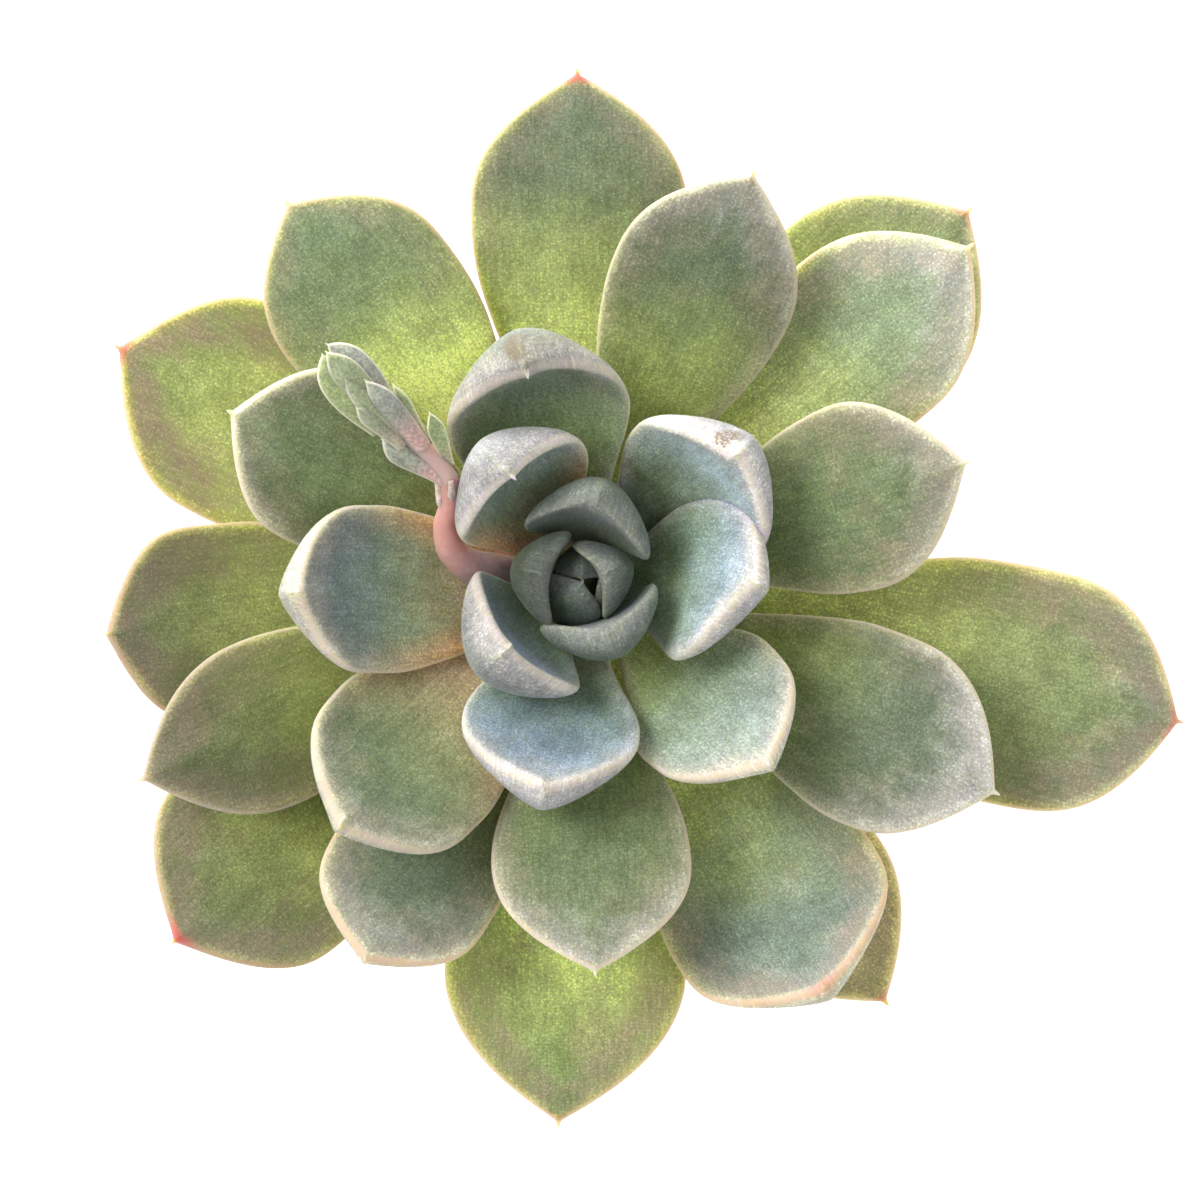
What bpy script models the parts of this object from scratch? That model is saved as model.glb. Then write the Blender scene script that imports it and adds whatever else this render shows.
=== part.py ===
"""Potted echeveria: a rosette succulent with a young flower stalk, rooted in a plain clay pot.

Row frame: metres, +Z up, the origin at the middle of the pot's flat foot. The rosette grows about the Z axis.
"""

import math
from collections import namedtuple

import bmesh
import bpy
from mathutils import Vector

MM = 0.001
GAP = 0.3 * MM  # left between pieces that meet

# ---------------------------------------------------------------- sizes of the pot
POT_HEIGHT = 52 * MM
FOOT_RADIUS = 20 * MM
RIM_RADIUS = 29 * MM
RIM_BAND = 13 * MM  # height of the thicker band at the mouth
RIM_STEP = 2 * MM  # how far the band stands out from the wall below it
WALL = 3 * MM
FLOOR = 4 * MM
EDGE_ROUND = 0.8 * MM
HOLE_RADIUS = 2.5 * MM
HOLE_CIRCLE = 11 * MM  # radius of the circle that the drainage holes stand on
HOLES = 4
HOLE_SIDES = 16
POT_SIDES = 40

# ---------------------------------------------------------------- sizes of the soil and the stem
SOIL_BELOW_RIM = 3.5 * MM
SOIL_DOME = 2 * MM  # how much higher the soil lies at the stem than at the wall
STEM_RADIUS = 5.5 * MM
SHOULDER_LEAF = 19  # from this leaf of the spiral up, the stem closes to its growing point
APEX_RADIUS = 1.2 * MM
APEX_ROUND = 0.4 * MM
ROOT_DEPTH = 18 * MM
ROOT_TIP_RADIUS = 1.8 * MM
ROOT_CLEARANCE = 0.6 * MM  # between the root stock and the soil round it
STEM_SIDES = 20

# ---------------------------------------------------------------- sizes of the leaves
LOWEST_LEAF = 4 * MM  # the lowest leaf's base, above the pot's rim
LEAF_PITCH = 0.62 * MM  # rise of the spiral from one leaf base to the next
TABLE_PITCH = 0.62 * MM  # the rise that leaves of the thicknesses in the table below need
EDGE_THICKNESS = 0.55 * MM  # half the thickness at a leaf's margin
LEAF_SIDES = 12  # points round one cross-section
LEAF_RINGS = 10  # cross-sections from point to base
WIDEST_AT = 0.70  # share of a leaf's length where it is widest
THICKEST_AT = 0.5
BASE_SHARE = 0.2  # a leaf's width at the stem, as a share of its widest
BASE_THICKNESS = 0.5  # its thickness there, as a share of its thickest
PACKING = min(LEAF_PITCH / TABLE_PITCH, 1)  # leaves squeezed closer on the stem are as much thinner
UPPER_SHARE = 0.42  # how much of the thickness lies above the midrib surface

# One leaf of the spiral, oldest and lowest first. turn is the way it points, counted from +X; length,
# half_width and thickness are its own size in millimetres; rise and tip are the slopes of its midrib at the
# stem and at the point, and bend is how late the slope changes; swing turns the point sideways; cup is how
# far its margins stand above the midrib, as a share of the half width; fullness keeps its outline wide up to
# the point. Angles are in degrees.
Leaf = namedtuple("Leaf", "name turn length half_width thickness rise tip bend swing cup fullness")
LEAVES = [
    Leaf("outer_leaf_01", 44, 54.5, 12.6, 4.6, 12, 12, 1.6, 0, 0.16, 2.5),
    Leaf("outer_leaf_02", 306, 52, 10.2, 4.6, 8.5, 12, 1.6, 0, 0.12, 2.2),
    Leaf("outer_leaf_03", 267.5, 54.5, 13.4, 4.8, 13, 8, 1.6, 0, 0.16, 2.1),
    Leaf("outer_leaf_04", 153, 52.5, 12.5, 4.6, 12, 14, 1.6, 0, 0.16, 2.6),
    Leaf("outer_leaf_05", 347, 62.5, 13.3, 5.0, 13, 8, 1.6, 0, 0.14, 2.9),
    Leaf("outer_leaf_06", 219.5, 55.5, 12.8, 4.8, 10.5, 25, 1.8, 4, 0.13, 2.9),
    Leaf("outer_leaf_07", 90.5, 51.5, 12.0, 5.0, 16, 12, 1.6, 0, 0.16, 2.5),
    Leaf("outer_leaf_08", 186, 49.5, 10.8, 5.0, 17.5, 24, 1.8, 0, 0.16, 3.2),
    Leaf("outer_leaf_09", 301, 52.5, 12.6, 5.2, 12, 110, 6.5, 0, 0.26, 3.0),
    Leaf("outer_leaf_10", 41, 52, 10.8, 5.0, 18, 14, 1.6, 0, 0.16, 2.6),
    Leaf("outer_leaf_11", 126, 48.5, 10.8, 5.0, 20, 15, 1.6, 4, 0.16, 3.0),
    Leaf("outer_leaf_12", 240, 45, 9.8, 4.8, 18, 36, 2.0, 0, 0.20, 3.2),
    Leaf("middle_leaf_01", 334.5, 46.5, 10.9, 5.0, 22, 12, 1.6, -3, 0.18, 2.4),
    Leaf("middle_leaf_02", 204, 48.5, 9.4, 5.0, 22, 12, 1.6, 0, 0.18, 2.2),
    Leaf("middle_leaf_03", 69, 45, 10.3, 5.0, 26, 15, 1.6, -4, 0.18, 2.4),
    Leaf("middle_leaf_04", 17.5, 40.5, 10.3, 5.0, 26, 18, 1.6, 0, 0.18, 2.2),
    Leaf("middle_leaf_05", 272, 39.5, 10.9, 5.0, 26, 26, 1.8, 0, 0.18, 2.4),
    Leaf("middle_leaf_06", 154, 40.5, 9.8, 5.0, 28, 30, 1.8, 0, 0.20, 2.8),
    Leaf("middle_leaf_07", 225, 38, 10.6, 5.0, 28, 58, 3.2, 0, 0.22, 3.0),
    Leaf("middle_leaf_08", 316, 29, 9.3, 4.8, 32, 72, 3.2, 0, 0.26, 3.0),
    Leaf("middle_leaf_09", 182, 33.5, 9.2, 4.8, 32, 70, 3.4, 0, 0.28, 2.8),
    Leaf("inner_leaf_01", 39, 31.5, 9.7, 4.6, 32, 136, 3.2, 14, 0.45, 2.8),
    Leaf("inner_leaf_02", 260, 27.8, 9.8, 4.6, 35, 98, 3.0, 0, 0.34, 2.8),
    Leaf("inner_leaf_03", 104.5, 35, 10.0, 4.6, 28, 148, 3.4, 0, 0.46, 2.8),
    Leaf("inner_leaf_04", 3, 26, 9.4, 4.4, 40, 118, 3.0, -22, 0.38, 3.0),
    Leaf("inner_leaf_05", 221, 21.5, 8.4, 4.0, 50, 138, 2.6, 0, 0.48, 2.6),
    Leaf("inner_leaf_06", 122, 26.8, 8.4, 3.2, 41, 150, 2.8, 10, 0.44, 2.6),
    Leaf("heart_leaf_01", 77, 19, 7.0, 3.0, 62, 112, 1.8, 0, 0.48, 2.4),
    Leaf("heart_leaf_02", 298, 14, 6.8, 2.8, 68, 108, 1.8, -12, 0.48, 2.4),
    Leaf("heart_leaf_03", 165, 14.5, 5.0, 2.4, 74, 106, 1.8, 0, 0.48, 2.4),
    Leaf("heart_leaf_04", 28, 12, 4.4, 2.2, 84, 128, 1.8, 0, 0.48, 2.4),
    Leaf("heart_leaf_05", 225, 10, 3.6, 1.8, 82, 150, 1.4, 0, 0.45, 2.2),
    Leaf("heart_leaf_06", 103, 7.5, 2.4, 1.3, 84, 150, 1.4, 0, 0.45, 2.2),
    Leaf("heart_leaf_07", 335, 5.5, 1.3, 1.1, 86, 130, 1.4, 0, 0.45, 2.2),
]

# ---------------------------------------------------------------- sizes of the flower stalk
STALK_TURN = 169  # the side of the stem that it comes out of, counted from +X in degrees
STALK_LEAF = 24  # it comes out just above this leaf's base
STALK_ABOVE_LEAF = 0.7 * MM
STALK_CLEARANCE = 1.2 * MM  # from the stem to the middle of its cut end
STALK_SIDES = 10
STALK_RINGS = 24
BRACT_SIDES = 8
BRACT_RINGS = 7
BRACT_EDGE = 0.15 * MM  # half the thickness at a small leaf's margin

# The middle line of the stalk and its radius there, in millimetres, counted from where it leaves the stem.
# It lies over a middle leaf, bends, and turns up between two inner leaves.
STALK = [
    (0, 0, 0, 1.1),
    (-2.1, 0.4, 1.6, 1.5),
    (-4.4, 0.5, 3.7, 1.9),
    (-6.8, 0.8, 6.0, 1.9),
    (-9.1, 2.6, 8.3, 1.6),
    (-9.8, 5.1, 10.2, 1.25),
    (-9.4, 7.2, 11.8, 1.15),
    (-9.2, 9.0, 13.2, 1.15),
    (-9.5, 10.6, 14.4, 1.1),
    (-11.3, 12.9, 16.2, 1.0),
    (-15.3, 16.4, 19.6, 0.75),
]

# The small leaves of the stalk and of its bud. Each starts beside the stalk: along is the share of the
# stalk's length, side is to its left and up is over it, in millimetres from its middle line.
Bract = namedtuple("Bract", "along side up blade")
BRACTS = [
    Bract(0.74, 1.3, 0.5, Leaf("bract_1", 148, 7.4, 1.7, 0.7, 22, 14, 1.6, -8, 0.30, 2.0)),
    Bract(0.80, -1.6, 0.5, Leaf("bract_2", 104, 7.6, 1.0, 0.6, 42, 45, 1.6, 0, 0.50, 1.8)),
    Bract(0.92, -1.5, 0.4, Leaf("bract_3", 122, 7.4, 1.0, 0.6, 34, 36, 1.6, 4, 0.50, 1.8)),
    Bract(0.96, 1.9, -2.0, Leaf("bract_4", 144, 7.6, 1.0, 0.7, 26, 30, 1.6, 0, 0.30, 2.0)),
]
BUD_LEAVES = [
    Bract(1.0, -1.3, -1.7, Leaf("bud_leaf_1", 124, 11.5, 1.9, 1.1, 34, 20, 1.6, 20, 0.20, 2.4)),
    Bract(1.0, 1.1, -1.2, Leaf("bud_leaf_2", 140, 11.5, 1.8, 1.1, 34, 22, 1.6, -10, 0.20, 2.2)),
    Bract(1.0, 0.0, 0.45, Leaf("bud_leaf_3", 132, 11.2, 1.8, 1.1, 36, 22, 1.6, 2, 0.20, 2.2)),
    Bract(0.98, 1.2, 1.6, Leaf("bud_leaf_4", 136, 9.0, 1.4, 1.0, 38, 20, 1.6, 0, 0.20, 2.0)),
    Bract(0.93, -0.8, 1.7, Leaf("bud_leaf_5", 130, 8.4, 1.4, 1.0, 42, 18, 1.6, 0, 0.20, 2.0)),
]


def clear_scene():
    for obj in list(bpy.data.objects):
        bpy.data.objects.remove(obj)


def material(name, colour, roughness):
    made = bpy.data.materials.new(name)
    made.use_nodes = True
    shader = made.node_tree.nodes["Principled BSDF"]
    shader.inputs["Base Color"].default_value = (*colour, 1)
    shader.inputs["Roughness"].default_value = roughness
    return made


def add_object(name, mesh_source, finish):
    """Makes one named object from a bmesh, shaded smooth with sharp corners kept."""
    mesh = bpy.data.meshes.new(name)
    bmesh.ops.recalc_face_normals(mesh_source, faces=mesh_source.faces)
    mesh_source.to_mesh(mesh)
    mesh_source.free()
    mesh.shade_smooth()
    mesh.set_sharp_from_angle(angle=math.radians(50))
    mesh.materials.append(finish)
    made = bpy.data.objects.new(name, mesh)
    bpy.context.scene.collection.objects.link(made)
    return made


def turned(name, profile, sides, finish):
    """A solid of revolution about Z from a closed (radius, height) outline whose ends lie on the axis."""
    bm = bmesh.new()
    outline = [bm.verts.new((radius, 0, height)) for radius, height in profile]
    edges = [bm.edges.new(pair) for pair in zip(outline, outline[1:])]
    bmesh.ops.spin(
        bm, geom=outline + edges, axis=(0, 0, 1), cent=(0, 0, 0), angle=math.tau, steps=sides, use_merge=True
    )
    bmesh.ops.remove_doubles(bm, verts=bm.verts, dist=0.01 * MM)
    return add_object(name, bm, finish)


# ---------------------------------------------------------------- pot


def wall_radius(height):
    """The outer radius of the tapered wall below the rim band."""
    band_foot = POT_HEIGHT - RIM_BAND
    share = min(height / band_foot, 1)
    return FOOT_RADIUS + (RIM_RADIUS - RIM_STEP - FOOT_RADIUS) * share


def inner_radius(height):
    return wall_radius(height) - WALL


def build_pot(finish):
    band_foot = POT_HEIGHT - RIM_BAND
    mouth = inner_radius(POT_HEIGHT)
    profile = [
        (0, 0),
        (FOOT_RADIUS - EDGE_ROUND, 0),
        (FOOT_RADIUS, EDGE_ROUND),
        (wall_radius(band_foot), band_foot),
        (RIM_RADIUS - EDGE_ROUND, band_foot + EDGE_ROUND),
        (RIM_RADIUS, band_foot + 2 * EDGE_ROUND),
        (RIM_RADIUS, POT_HEIGHT - EDGE_ROUND),
        (RIM_RADIUS - EDGE_ROUND, POT_HEIGHT),
        (mouth + EDGE_ROUND, POT_HEIGHT),
        (mouth, POT_HEIGHT - EDGE_ROUND),
        (mouth, band_foot),
        (inner_radius(FLOOR), FLOOR),
        (0, FLOOR),
    ]
    pot = turned("pot", profile, POT_SIDES, finish)
    for number in range(HOLES):
        angle = math.tau * (number / HOLES + 0.5 / POT_SIDES)
        bm = bmesh.new()
        bmesh.ops.create_cone(
            bm, cap_ends=True, segments=HOLE_SIDES, radius1=HOLE_RADIUS, radius2=HOLE_RADIUS, depth=3 * FLOOR
        )
        cutter = add_object(f"drain_cutter_{number + 1}", bm, finish)
        cutter.location = (HOLE_CIRCLE * math.cos(angle), HOLE_CIRCLE * math.sin(angle), FLOOR / 2)
        cutter.hide_render = True
        cutter.display_type = "WIRE"
        cut = pot.modifiers.new("drain_hole", "BOOLEAN")
        cut.operation = "DIFFERENCE"
        cut.object = cutter


# ---------------------------------------------------------------- soil and stem

SOIL_EDGE = POT_HEIGHT - SOIL_BELOW_RIM
SOIL_TOP = SOIL_EDGE + SOIL_DOME
ROOT_TIP = SOIL_TOP - ROOT_DEPTH


def base_height(order):
    """The height on the stem of the leaf with this place in the spiral, counted from 0."""
    return POT_HEIGHT + LOWEST_LEAF + order * LEAF_PITCH


STEM_SHOULDER = base_height(SHOULDER_LEAF)
STEM_TOP = base_height(len(LEAVES)) + APEX_RADIUS


def stem_radius(height):
    """The stem's radius: full up to its shoulder, then closing to the growing point."""
    share = min(max((height - STEM_SHOULDER) / (STEM_TOP - STEM_SHOULDER), 0), 1)
    return STEM_RADIUS + (APEX_RADIUS - STEM_RADIUS) * share


def build_stem(finish):
    profile = [
        (0, ROOT_TIP),
        (ROOT_TIP_RADIUS, ROOT_TIP),
        (STEM_RADIUS, SOIL_TOP),
        (STEM_RADIUS, STEM_SHOULDER),
        (APEX_RADIUS, STEM_TOP),
        (0, STEM_TOP + APEX_ROUND),
    ]
    turned("stem", profile, STEM_SIDES, finish)


def build_soil(finish):
    """The soil fills the pot, with a socket that the root stock stands in."""
    socket_floor = ROOT_TIP - GAP
    band_foot = POT_HEIGHT - RIM_BAND
    mouth = inner_radius(POT_HEIGHT) - GAP
    profile = [
        (0, FLOOR + GAP),
        (inner_radius(FLOOR) - GAP, FLOOR + GAP),
        (inner_radius(band_foot) - GAP, band_foot),
        (mouth, SOIL_EDGE),
        ((STEM_RADIUS + mouth) / 2, SOIL_EDGE + 0.7 * SOIL_DOME),
        (STEM_RADIUS + ROOT_CLEARANCE, SOIL_TOP),
        (ROOT_TIP_RADIUS + ROOT_CLEARANCE, socket_floor),
        (0, socket_floor),
    ]
    turned("soil", profile, POT_SIDES, finish)


# ---------------------------------------------------------------- leaves

MIDRIB_STEPS = 48
RING_CROWDING = 1.25  # above 1, the cross-sections stand closer together near the point


def outline_share(s, fullness):
    """Half width of the blade at s, as a share of the widest: s is 0 at the stem and 1 at the point."""
    if s < WIDEST_AT:
        return BASE_SHARE + (1 - BASE_SHARE) * math.sin(math.pi / 2 * s / WIDEST_AT) ** 2
    return max(1 - ((s - WIDEST_AT) / (1 - WIDEST_AT)) ** fullness, 0)


def thickness_share(s):
    """Thickness of the blade's middle at s, as a share of the greatest."""
    if s < THICKEST_AT:
        return BASE_THICKNESS + (1 - BASE_THICKNESS) * math.sin(math.pi / 2 * s / THICKEST_AT) ** 2
    return 1 - 0.8 * ((s - THICKEST_AT) / (1 - THICKEST_AT)) ** 2.4


def midrib(leaf, start):
    """Frames along the leaf: a list of (point, sideways, upward), evenly spaced from stem to point."""
    frames = []
    point = start.copy()
    step = leaf.length * MM / MIDRIB_STEPS
    for number in range(MIDRIB_STEPS + 1):
        s = number / MIDRIB_STEPS
        slope = math.radians(leaf.rise + (leaf.tip - leaf.rise) * s**leaf.bend)
        heading = math.radians(leaf.turn + leaf.swing * s)
        outward = Vector((math.cos(heading), math.sin(heading), 0))
        sideways = Vector((-math.sin(heading), math.cos(heading), 0))
        forward = outward * math.cos(slope) + Vector((0, 0, math.sin(slope)))
        frames.append((point.copy(), sideways, forward.cross(sideways)))
        point = point + forward * step
    return frames


def frame_at(frames, s):
    """The frame at s, between the two nearest of the list."""
    place = s * MIDRIB_STEPS
    low = min(int(place), MIDRIB_STEPS - 1)
    share = place - low
    return [a.lerp(b, share) for a, b in zip(frames[low], frames[low + 1])]


def shape_leaf(bm, leaf, start, rings, edge, packing=1):
    """Moves the points of a unit sphere, its poles on Z, to the closed surface of one leaf."""
    frames = midrib(leaf, start)
    for vert in bm.verts:
        ring = round(math.acos(max(-1, min(1, vert.co.z))) / math.pi * rings)
        s = 1 - min(ring / (rings - 1), 1) ** RING_CROWDING
        point, sideways, upward = frame_at(frames, s)
        on_axis = ring in (0, rings)
        round_angle = math.atan2(vert.co.y, vert.co.x)
        across = 0 if on_axis else math.cos(round_angle)
        around = 0 if on_axis else math.sin(round_angle)
        half_width = leaf.half_width * MM * outline_share(s, leaf.fullness)
        middle = leaf.thickness * MM * thickness_share(s) * (1 - across**2)
        depth = middle * (UPPER_SHARE if around > 0 else 1 - UPPER_SHARE) + edge * thickness_share(s)
        height = around * depth * packing + leaf.cup * half_width * across**2
        vert.co = point + sideways * (across * half_width) + upward * height


def build_leaf(leaf, order, finish):
    height = base_height(order)
    blunt_end = leaf.thickness * MM * BASE_THICKNESS * UPPER_SHARE + EDGE_THICKNESS
    radius = stem_radius(height) + GAP + blunt_end * math.sin(math.radians(leaf.rise))
    turn = math.radians(leaf.turn)
    start = Vector((radius * math.cos(turn), radius * math.sin(turn), height))
    bm = bmesh.new()
    bmesh.ops.create_uvsphere(bm, u_segments=LEAF_SIDES, v_segments=LEAF_RINGS, radius=1)
    shape_leaf(bm, leaf, start, LEAF_RINGS, EDGE_THICKNESS, PACKING)
    add_object(leaf.name, bm, finish)


# ---------------------------------------------------------------- flower stalk


STALK_HEIGHT = base_height(STALK_LEAF) + STALK_ABOVE_LEAF


def stalk_point(share):
    """(middle, radius) of the stalk at a share of its length: a smooth curve through STALK's points."""
    place = share * (len(STALK) - 1)
    first = min(int(place), len(STALK) - 2)
    t = place - first
    a, b, c, d = (Vector(STALK[min(max(first + step, 0), len(STALK) - 1)]) for step in (-1, 0, 1, 2))
    x, y, z, radius = (
        2 * b + (c - a) * t + (2 * a - 5 * b + 4 * c - d) * t**2 + (3 * b - a - 3 * c + d) * t**3
    ) * (MM / 2)
    reach = stem_radius(STALK_HEIGHT) + STALK_CLEARANCE
    turn = math.radians(STALK_TURN)
    start = Vector((reach * math.cos(turn), reach * math.sin(turn), STALK_HEIGHT))
    return start + Vector((x, y, z)), radius


def stalk_frame(share):
    """(middle, radius, left, over) of the stalk."""
    middle, radius = stalk_point(share)
    forward = stalk_point(min(share + 0.01, 1))[0] - stalk_point(max(share - 0.01, 0))[0]
    left = Vector((0, 0, 1)).cross(forward).normalized()
    return middle, radius, left, forward.cross(left).normalized()


def build_stalk(finish):
    """A straight round bar, cut into short lengths and bent along the stalk's middle line."""
    bm = bmesh.new()
    bmesh.ops.create_cone(bm, cap_ends=True, segments=STALK_SIDES, radius1=1, radius2=1, depth=1)
    sides = [edge for edge in bm.edges if abs(edge.verts[0].co.z - edge.verts[1].co.z) > 0.5]
    bmesh.ops.subdivide_edges(bm, edges=sides, cuts=STALK_RINGS - 1)
    for vert in bm.verts:
        middle, radius, left, over = stalk_frame(vert.co.z + 0.5)
        vert.co = middle + radius * (left * vert.co.x + over * vert.co.y)
    add_object("flower_stalk", bm, finish)


def build_bract(bract, finish):
    middle, _, left, over = stalk_frame(bract.along)
    start = middle + (left * bract.side + over * bract.up) * MM
    bm = bmesh.new()
    bmesh.ops.create_uvsphere(bm, u_segments=BRACT_SIDES, v_segments=BRACT_RINGS, radius=1)
    shape_leaf(bm, bract.blade, start, BRACT_RINGS, BRACT_EDGE)
    add_object(bract.blade.name, bm, finish)


# ---------------------------------------------------------------- the whole plant


def main():
    clear_scene()
    clay = material("clay", (0.55, 0.24, 0.13), 0.85)
    build_pot(clay)
    build_soil(material("soil", (0.09, 0.06, 0.045), 0.95))
    build_stem(material("stem_bark", (0.40, 0.38, 0.22), 0.75))
    colours = {
        "outer": material("outer_leaf", (0.36, 0.47, 0.20), 0.5),
        "middle": material("middle_leaf", (0.33, 0.42, 0.27), 0.52),
        "inner": material("inner_leaf", (0.38, 0.45, 0.44), 0.55),
        "heart": material("heart_leaf", (0.20, 0.29, 0.27), 0.55),
    }
    for order, leaf in enumerate(LEAVES):
        ring = leaf.name.split("_")[0]
        build_leaf(leaf, order, colours[ring])
    build_stalk(material("flower_stalk", (0.66, 0.36, 0.31), 0.5))
    pale = material("bract", (0.46, 0.52, 0.40), 0.55)
    for bract in BRACTS + BUD_LEAVES:
        build_bract(bract, pale)


main()
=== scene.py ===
"""Potted echeveria, finished: every piece of the plant and its clay pot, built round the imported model.

Metres, +Z up. The pot stands on the floor at the origin and the rosette grows about the Z axis.
"""

import math
import random
from collections import namedtuple

import bmesh
import bpy
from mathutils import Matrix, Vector, noise


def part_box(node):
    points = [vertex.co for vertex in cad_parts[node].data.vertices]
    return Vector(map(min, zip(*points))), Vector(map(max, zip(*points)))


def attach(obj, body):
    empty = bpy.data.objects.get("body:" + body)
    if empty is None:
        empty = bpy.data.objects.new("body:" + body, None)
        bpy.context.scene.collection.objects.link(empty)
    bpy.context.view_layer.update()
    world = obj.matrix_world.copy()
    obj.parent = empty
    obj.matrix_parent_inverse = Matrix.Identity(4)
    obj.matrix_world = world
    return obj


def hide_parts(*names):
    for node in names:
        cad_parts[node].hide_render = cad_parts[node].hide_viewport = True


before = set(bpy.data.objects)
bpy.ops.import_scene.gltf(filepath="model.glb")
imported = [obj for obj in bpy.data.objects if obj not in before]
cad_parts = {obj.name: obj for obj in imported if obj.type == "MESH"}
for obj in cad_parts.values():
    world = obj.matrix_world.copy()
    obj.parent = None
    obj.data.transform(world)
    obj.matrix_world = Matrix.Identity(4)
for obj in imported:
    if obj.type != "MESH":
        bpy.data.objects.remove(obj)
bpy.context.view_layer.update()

# ================================================================ camera, floor and lamps
# The plant stands on a broad white studio floor under a pale tent. A large soft lamp hangs to the left, a
# weaker one to the right, and a low lamp behind shines through the leaves.

MM = 0.001
CAMERA_PLACE = (2.0 * MM, -1.78 * MM, 815 * MM)
CAMERA_LENS = 202.5
FLOOR_SIDE = 6.0
TENT_LIGHT = 0.54
FLOOR_GLOW = 0.55
ROSETTE_HEIGHT = 65 * MM

camera = bpy.data.objects.new("camera", bpy.data.cameras.new("camera"))
camera.location = CAMERA_PLACE
camera.data.lens = CAMERA_LENS
camera.data.sensor_width = 36
camera.data.clip_end = 20
bpy.context.scene.collection.objects.link(camera)
bpy.context.scene.camera = camera
bpy.context.scene.view_settings.view_transform = "Standard"


class Value:
    """A number, colour or vector that changes over a surface. Arithmetic on it adds Math nodes."""

    def __init__(self, finish, link):
        self.finish = finish
        self.link = link

    def __add__(self, other):
        return self.finish.math("ADD", self, other)

    def __radd__(self, other):
        return self.finish.math("ADD", other, self)

    def __sub__(self, other):
        return self.finish.math("SUBTRACT", self, other)

    def __rsub__(self, other):
        return self.finish.math("SUBTRACT", other, self)

    def __mul__(self, other):
        return self.finish.math("MULTIPLY", self, other)

    def __rmul__(self, other):
        return self.finish.math("MULTIPLY", other, self)


class Finish:
    """One material: a Principled shader, with nodes for what changes over the surface."""

    def __init__(self, name, **constants):
        self.material = bpy.data.materials.new(name)
        self.material.use_nodes = True
        self.tree = self.material.node_tree
        self.shader = self.tree.nodes["Principled BSDF"]
        for socket, value in constants.items():
            self.shader.inputs[socket.replace("_", " ")].default_value = value

    def node(self, kind, settings=None, sockets=None, output=0):
        """A node of that kind, with its settings made first, then its sockets given values or links."""
        made = self.tree.nodes.new("ShaderNode" + kind)
        for name, value in (settings or {}).items():
            setattr(made, name, value)
        for socket, value in (sockets or {}).items():
            self.give(made.inputs[socket], value)
        return Value(self, made.outputs[output])

    def give(self, socket, value):
        if isinstance(value, Value):
            self.tree.links.new(value.link, socket)
        elif isinstance(value, tuple) and socket.type == "RGBA":
            socket.default_value = (*value, 1)
        else:
            socket.default_value = value

    def math(self, operation, *values):
        return self.node("Math", {"operation": operation}, dict(enumerate(values)))

    def blend(self, share, below, above, way="MIX"):
        """Colour above laid over colour below, as far as share says."""
        return self.node(
            "Mix", {"data_type": "RGBA", "blend_type": way}, {0: share, 6: below, 7: above}, output=2
        )

    def step(self, value, low, high, start=0.0, end=1.0):
        """A soft step from start to end, as value goes from low to high."""
        return self.node(
            "MapRange",
            {"interpolation_type": "SMOOTHSTEP"},
            {"Value": value, "From Min": low, "From Max": high, "To Min": start, "To Max": end},
        )

    def place(self):
        return self.node("TexCoord", output=3)

    def told(self, name, output=2):
        """A number kept in the mesh, or with output 1 a vector."""
        return self.node("Attribute", {"attribute_name": name}, output=output)

    def clouds(self, place, scale, detail=2.0, roughness=0.5):
        sockets = {"Vector": place, "Scale": scale, "Detail": detail, "Roughness": roughness}
        return self.node("TexNoise", None, sockets)

    def cells(self, place, scale, randomness=1.0):
        sockets = {"Vector": place, "Scale": scale, "Randomness": randomness}
        return self.node("TexVoronoi", None, sockets)

    def relief(self, height, depth, under=None):
        """A Bump node: height 0 to 1 stands for depth in metres."""
        sockets = {"Height": height, "Distance": depth, "Strength": 1.0}
        if under is not None:
            sockets["Normal"] = under
        return self.node("Bump", None, sockets)

    def set(self, **sockets):
        for socket, value in sockets.items():
            self.give(self.shader.inputs[socket.replace("_", " ")], value)
        return self.material


def keep(name, bm, finish, sharp=180):
    """Makes one named object of a bmesh, shaded smooth except at corners sharper than that many degrees."""
    mesh = bpy.data.meshes.new(name)
    bmesh.ops.recalc_face_normals(bm, faces=bm.faces)
    bm.to_mesh(mesh)
    bm.free()
    mesh.shade_smooth()
    if sharp < 180:
        mesh.set_sharp_from_angle(angle=math.radians(sharp))
    mesh.materials.append(finish)
    made = bpy.data.objects.new(name, mesh)
    bpy.context.scene.collection.objects.link(made)
    return made


def floor_finish():
    paper = Finish("studio_floor", Roughness=0.9, Emission_Strength=FLOOR_GLOW)
    grain = paper.clouds(paper.place(), 9.0, 3.0)
    white = paper.blend(paper.step(grain, 0.35, 0.65), (0.90, 0.90, 0.89), (0.92, 0.92, 0.92))
    return paper.set(Base_Color=white, Emission_Color=(1.0, 1.0, 1.0))


floor_mesh = bmesh.new()
bmesh.ops.create_grid(floor_mesh, x_segments=8, y_segments=8, size=FLOOR_SIDE / 2)
floor = keep("studio_floor", floor_mesh, floor_finish())

tent = bpy.data.worlds.new("studio_tent")
tent.use_nodes = True
tent.node_tree.nodes["Background"].inputs["Color"].default_value = (1.0, 1.0, 1.0, 1)
tent.node_tree.nodes["Background"].inputs["Strength"].default_value = TENT_LIGHT
bpy.context.scene.world = tent


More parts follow.
